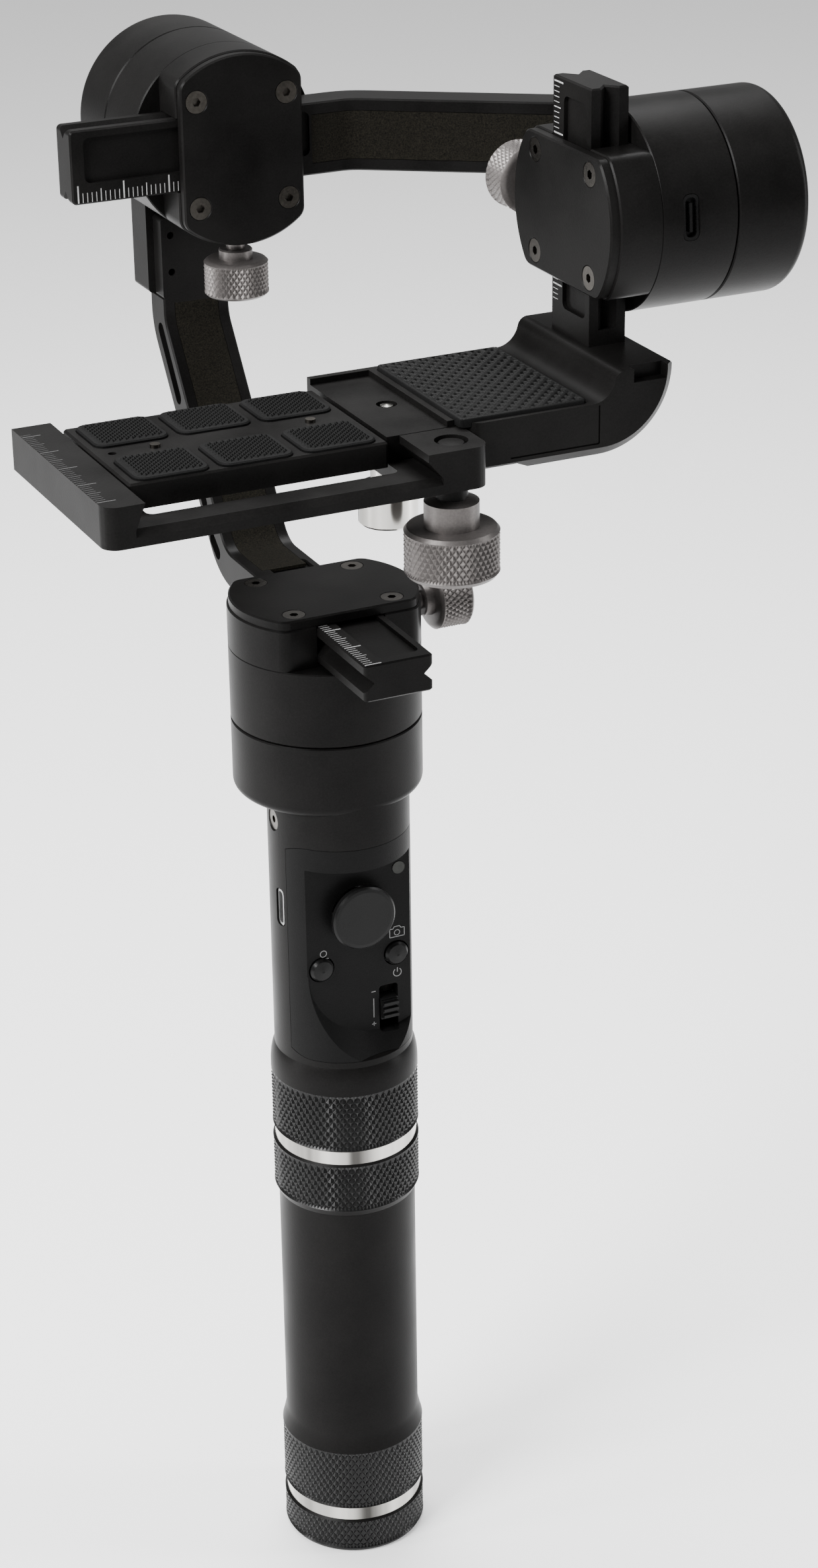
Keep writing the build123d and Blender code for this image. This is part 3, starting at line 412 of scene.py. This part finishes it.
def studded_pad(centre, half, top, bottom):
    """Points and faces of a small pad with rounded corners and a field of blunt diamond studs."""
    cx, cy = centre
    hx, hy = half
    corner = 2.3
    rings = []
    outline = []
    for qx, qy, start in ((1, 1, 0), (-1, 1, 90), (-1, -1, 180), (1, -1, 270)):
        for s in range(7):
            a = math.radians(start + 15 * s)
            outline.append((qx * (hx - corner), qy * (hy - corner), math.cos(a), math.sin(a)))
    for inset, z in ((0, bottom), (0, top - 0.65), (0.3, top - 0.4)):
        reach = corner - inset
        rings.append([(cx + ox + reach * ca, cy + oy + reach * sa, z) for ox, oy, ca, sa in outline])
    n = len(outline)
    verts = [v for ring in rings for v in ring]
    faces = [tuple(reversed(range(n)))]
    for r in range(len(rings) - 1):
        for k in range(n):
            m = (k + 1) % n
            faces.append((r * n + k, r * n + m, (r + 1) * n + m, (r + 1) * n + k))
    faces.append(tuple((len(rings) - 1) * n + k for k in range(n)))
    cells = []
    pitch = 1.3
    reach_x, reach_y = hx - 0.9, hy - 0.9
    steps_x, steps_y = int(2 * hx / pitch) + 2, int(2 * hy / pitch) + 2
    for i in range(-steps_x, steps_x + 1):
        for j in range(-steps_y, steps_y + 1):
            if (i + j) % 2:
                continue
            x, y = i * pitch / 2, j * pitch / 2
            over_x, over_y = max(abs(x) - reach_x + 1.4, 0), max(abs(y) - reach_y + 1.4, 0)
            if abs(x) < reach_x and abs(y) < reach_y and math.hypot(over_x, over_y) < 1.7:
                cells.append((cx + x, cy + y))
    for x, y in cells:
        n0 = len(verts)
        for h, z in ((pitch * 0.5, top - 0.45), (pitch * 0.16, top)):
            verts += [(x - h, y, z), (x, y - h, z), (x + h, y, z), (x, y + h, z)]
        faces += [(n0 + k, n0 + (k + 1) % 4, n0 + 4 + (k + 1) % 4, n0 + 4 + k) for k in range(4)]
        faces.append((n0 + 4, n0 + 5, n0 + 6, n0 + 7))
    return verts, faces


stud_half = (7.4, 6.7)
stud_top = 289.0
stud_bottom = 287.4
pad_verts, pad_faces = [], []
for row in (-49.4, -29.1):
    for column in (-55.3, -38.6, -21.9):
        v, f = studded_pad((column, row), stud_half, stud_top, stud_bottom)
        pad_faces += [tuple(len(pad_verts) + k for k in face) for face in f]
        pad_verts += v
six = make("plate_pads_studded", pad_verts, pad_faces, rubber, "slide_plate", sharp=35)
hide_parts("plate_pads")

# ---------------------------------------------------------------- marks on the control panel
panel_face = -9.3
mark_sink = 0.03
mark_depth = 0.07


def strokes(name, paths, width, material):
    """Thin raised lines on the panel's face: each path is a list of (x, z) points."""
    items = []
    for path in paths:
        for (x0, z0), (x1, z1) in zip(path, path[1:]):
            run = Vector((x1 - x0, 0, z1 - z0))
            side = Vector((-run.z, 0, run.x)).normalized() * width
            corner = Vector((x0, panel_face + mark_sink, z0)) - side / 2
            items.append((corner, run, (0, -mark_depth, 0), side))
    return boxes(name, items, material, "handle")


def ring(x, z, r, start=0, end=360, count=20):
    """Points of an arc."""
    return [
        (x + r * math.sin(math.radians(start + (end - start) * i / count)),
         z + r * math.cos(math.radians(start + (end - start) * i / count)))
        for i in range(count + 1)
    ]


power_mark = [ring(9.1, 148.1, 0.95, 35, 325), [(9.1, 148.2), (9.1, 149.3)]]
camera_mark = [
    [
        (7.4, 156.9), (10.9, 156.9), (10.9, 158.9), (10.1, 158.9), (9.8, 159.4), (8.5, 159.4),
        (8.2, 158.9), (7.4, 158.9), (7.4, 156.9),
    ],
    ring(9.15, 157.9, 0.65, count=12),
]
mode_mark = [ring(-8.4, 156.7, 0.75, count=14), [(-9.6, 155.4), (-7.2, 155.4)]]
zoom_scale = [
    [(3.3, 138.2), (3.3, 142.9)], [(2.8, 144.6), (3.8, 144.6)], [(2.8, 136.6), (3.8, 136.6)],
    [(3.3, 136.1), (3.3, 137.1)],
]
strokes("panel_marks", power_mark + camera_mark + mode_mark + zoom_scale, 0.18, faint_ink)

# ---------------------------------------------------------------- floor, light and camera
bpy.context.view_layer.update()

mat, n, links, shader = new_material("floor")
texture = n.new("ShaderNodeTexNoise")
texture.inputs["Scale"].default_value = 3.0
ramp = n.new("ShaderNodeValToRGB")
ramp.color_ramp.elements[0].color = (0.90, 0.90, 0.90, 1)
ramp.color_ramp.elements[1].color = (0.94, 0.94, 0.94, 1)
links.new(texture.outputs["Fac"], ramp.inputs["Fac"])
links.new(ramp.outputs["Color"], shader.inputs["Base Color"])
shader.inputs["Roughness"].default_value = 0.85
shader.inputs["Emission Color"].default_value = (1, 1, 1, 1)
shader.inputs["Emission Strength"].default_value = 0.28
floor_mesh = bpy.data.meshes.new("floor")
floor_half = 4
floor_corners = [(x * floor_half, y * floor_half, 0) for x, y in ((-1, -1), (1, -1), (1, 1), (-1, 1))]
floor_mesh.from_pydata(floor_corners, [], [(0, 1, 2, 3)])
floor_mesh.materials.append(mat)
floor = bpy.data.objects.new("floor", floor_mesh)
bpy.context.scene.collection.objects.link(floor)

world = bpy.data.worlds.new("studio")
bpy.context.scene.world = world
world.use_nodes = True
world.node_tree.nodes["Background"].inputs["Color"].default_value = (1, 1, 1, 1)
world.node_tree.nodes["Background"].inputs["Strength"].default_value = 0.42


def softbox(name, location, target, size, power):
    """A square area light aimed at a point."""
    data = bpy.data.lights.new(name, "AREA")
    data.shape = "RECTANGLE"
    data.size, data.size_y = size
    data.energy = power
    lamp = bpy.data.objects.new(name, data)
    lamp.location = location
    lamp.rotation_mode = "QUATERNION"
    lamp.rotation_quaternion = (Vector(target) - Vector(location)).to_track_quat("-Z", "Y")
    bpy.context.scene.collection.objects.link(lamp)


middle = (0.0, 0.0, 0.2)
softbox("key", (-0.75, -0.25, 0.85), middle, (0.4, 0.4), 20.0)
softbox("side", (0.75, -0.35, 0.45), middle, (0.15, 0.9), 5.0)
softbox("top", (0.1, 0.35, 1.1), middle, (0.6, 0.6), 24.0)
softbox("left", (-0.9, 0.15, 0.3), middle, (0.12, 0.9), 6.0)

camera = bpy.data.cameras.new("camera")
camera.lens = 74.26
camera.sensor_width = 36.0
camera.clip_start, camera.clip_end = 0.01, 20
shot = bpy.data.objects.new("camera", camera)
bpy.context.scene.collection.objects.link(shot)
azimuth = math.radians(-25.03)
elevation = math.radians(24.96)
roll = math.radians(-0.77)
distance = 0.7065
aim = Vector((0.0186, 0.0037, 0.1861))
back = Vector((
    math.sin(azimuth) * math.cos(elevation), -math.cos(azimuth) * math.cos(elevation), math.sin(elevation),
))
level = Vector((math.cos(azimuth), math.sin(azimuth), 0))
upright = level.cross(-back)
right = level * math.cos(roll) + upright * math.sin(roll)
up = upright * math.cos(roll) - level * math.sin(roll)
place = aim + back * distance
shot.matrix_world = Matrix((
    (right.x, up.x, back.x, place.x), (right.y, up.y, back.y, place.y), (right.z, up.z, back.z, place.z),
    (0, 0, 0, 1),
))
bpy.context.scene.camera = shot
